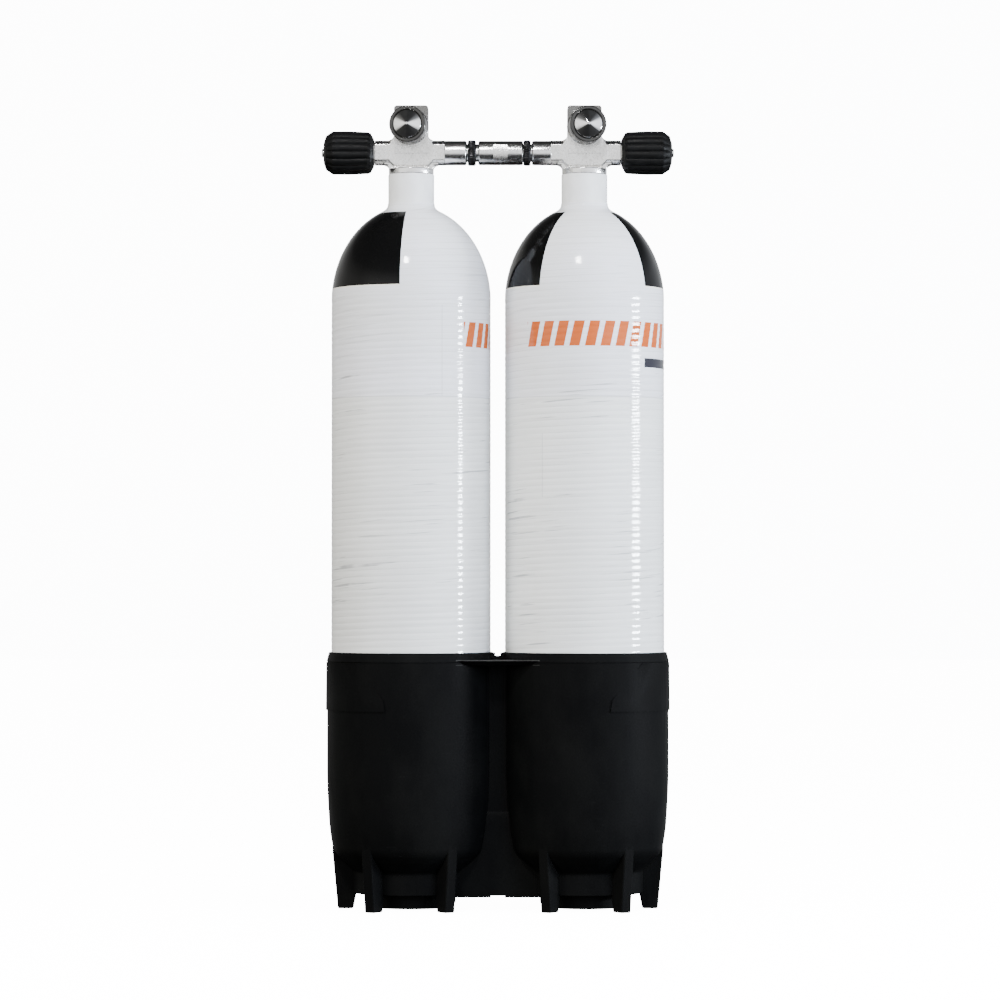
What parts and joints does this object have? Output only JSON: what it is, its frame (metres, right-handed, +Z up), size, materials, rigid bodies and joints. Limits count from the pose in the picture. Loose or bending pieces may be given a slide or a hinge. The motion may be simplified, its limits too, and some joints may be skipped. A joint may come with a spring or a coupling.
{
  "type": "twin air cylinder pack",
  "caption": "Twin air cylinders in a moulded boot, joined by a manifold bar with a fluted handwheel and a plugged outlet on each valve.",
  "frame": {"origin": "on the floor, midway between the two cylinders", "axes": "+Z up, the outlets face -Y, and +X to the viewer's right from the front"},
  "size_m": [0.3526, 0.1688, 0.802],
  "materials": {
    "white_paint": "gloss",
    "liner_aluminium": "satin",
    "boot_plastic": "satin",
    "satin_nickel": "satin",
    "chrome": "polished",
    "dark_nickel": "satin",
    "brass": "satin",
    "spring_steel": "satin",
    "black_rubber": "matte",
    "black_plastic": "satin",
    "white_nylon": "satin"
  },
  "bodies": {
    "twin_set": {"twin_boot": "boot_plastic", "crossbar": "chrome", "left_overwrap": "white_paint", "left_liner": "liner_aluminium", "left_valve_body": "satin_nickel", "left_neck_oring": "black_rubber", "left_dip_tube": "brass", "left_gland_nut": "brass", "left_thrust_washer": "white_nylon", "left_spindle_oring": "black_rubber", "left_lock_ring": "dark_nickel", "left_bar_oring": "black_rubber", "right_overwrap": "white_paint", "right_liner": "liner_aluminium", "right_valve_body": "satin_nickel", "right_neck_oring": "black_rubber", "right_dip_tube": "brass", "right_gland_nut": "brass", "right_thrust_washer": "white_nylon", "right_spindle_oring": "black_rubber", "right_lock_ring": "dark_nickel", "right_bar_oring": "black_rubber"},
    "left_handwheel": {"left_knob_grip": "black_rubber", "left_knob_core": "black_plastic", "left_spindle": "brass", "left_knob_nut": "satin_nickel", "left_knob_spring": "spring_steel"},
    "left_seat": {"left_seat_plug": "brass", "left_seat_insert": "white_nylon"},
    "left_plug_seal": {"left_outlet_oring": "black_rubber"},
    "left_plug": {"left_outlet_plug": "chrome"},
    "right_handwheel": {"right_knob_grip": "black_rubber", "right_knob_core": "black_plastic", "right_spindle": "brass", "right_knob_nut": "satin_nickel", "right_knob_spring": "spring_steel"},
    "right_seat": {"right_seat_plug": "brass", "right_seat_insert": "white_nylon"},
    "right_plug_seal": {"right_outlet_oring": "black_rubber"},
    "right_plug": {"right_outlet_plug": "chrome"}
  },
  "joints": [
    {"name": "left_knob_turn", "type": "hinge", "parent": "twin_set", "child": "left_handwheel", "pos_m": [-0.0867, 0, 0.755], "axis": [-1, 0, 0], "range_deg": [0, 900]},
    {"name": "left_seat_lift", "type": "slide", "parent": "left_handwheel", "child": "left_seat", "axis": [-1, 0, 0], "range_m": [0, 0.0025]},
    {"name": "left_plug_advance", "type": "slide", "parent": "twin_set", "child": "left_plug_seal", "axis": [-0.1045, -0.9945, 0], "range_m": [0, 0.0127]},
    {"name": "left_plug_turn", "type": "hinge", "parent": "left_plug_seal", "child": "left_plug", "pos_m": [-0.0867, 0, 0.781], "axis": [-0.1045, -0.9945, 0], "range_deg": [0, 2520]},
    {"name": "right_knob_turn", "type": "hinge", "parent": "twin_set", "child": "right_handwheel", "pos_m": [0.0867, 0, 0.755], "axis": [1, 0, 0], "range_deg": [0, 900]},
    {"name": "right_seat_lift", "type": "slide", "parent": "right_handwheel", "child": "right_seat", "axis": [1, 0, 0], "range_m": [0, 0.0025]},
    {"name": "right_plug_advance", "type": "slide", "parent": "twin_set", "child": "right_plug_seal", "axis": [0.1045, -0.9945, 0], "range_m": [0, 0.0127]},
    {"name": "right_plug_turn", "type": "hinge", "parent": "right_plug_seal", "child": "right_plug", "pos_m": [0.0867, 0, 0.781], "axis": [0.1045, -0.9945, 0], "range_deg": [0, 2520]}
  ],
  "couplings": [
    {"joint": "left_seat_lift", "follows": "left_knob_turn", "m_per_rad": 0.00015915},
    {"joint": "left_plug_advance", "follows": "left_plug_turn", "m_per_rad": 0.00028871},
    {"joint": "right_seat_lift", "follows": "right_knob_turn", "m_per_rad": 0.00015915},
    {"joint": "right_plug_advance", "follows": "right_plug_turn", "m_per_rad": 0.00028871}
  ]
}
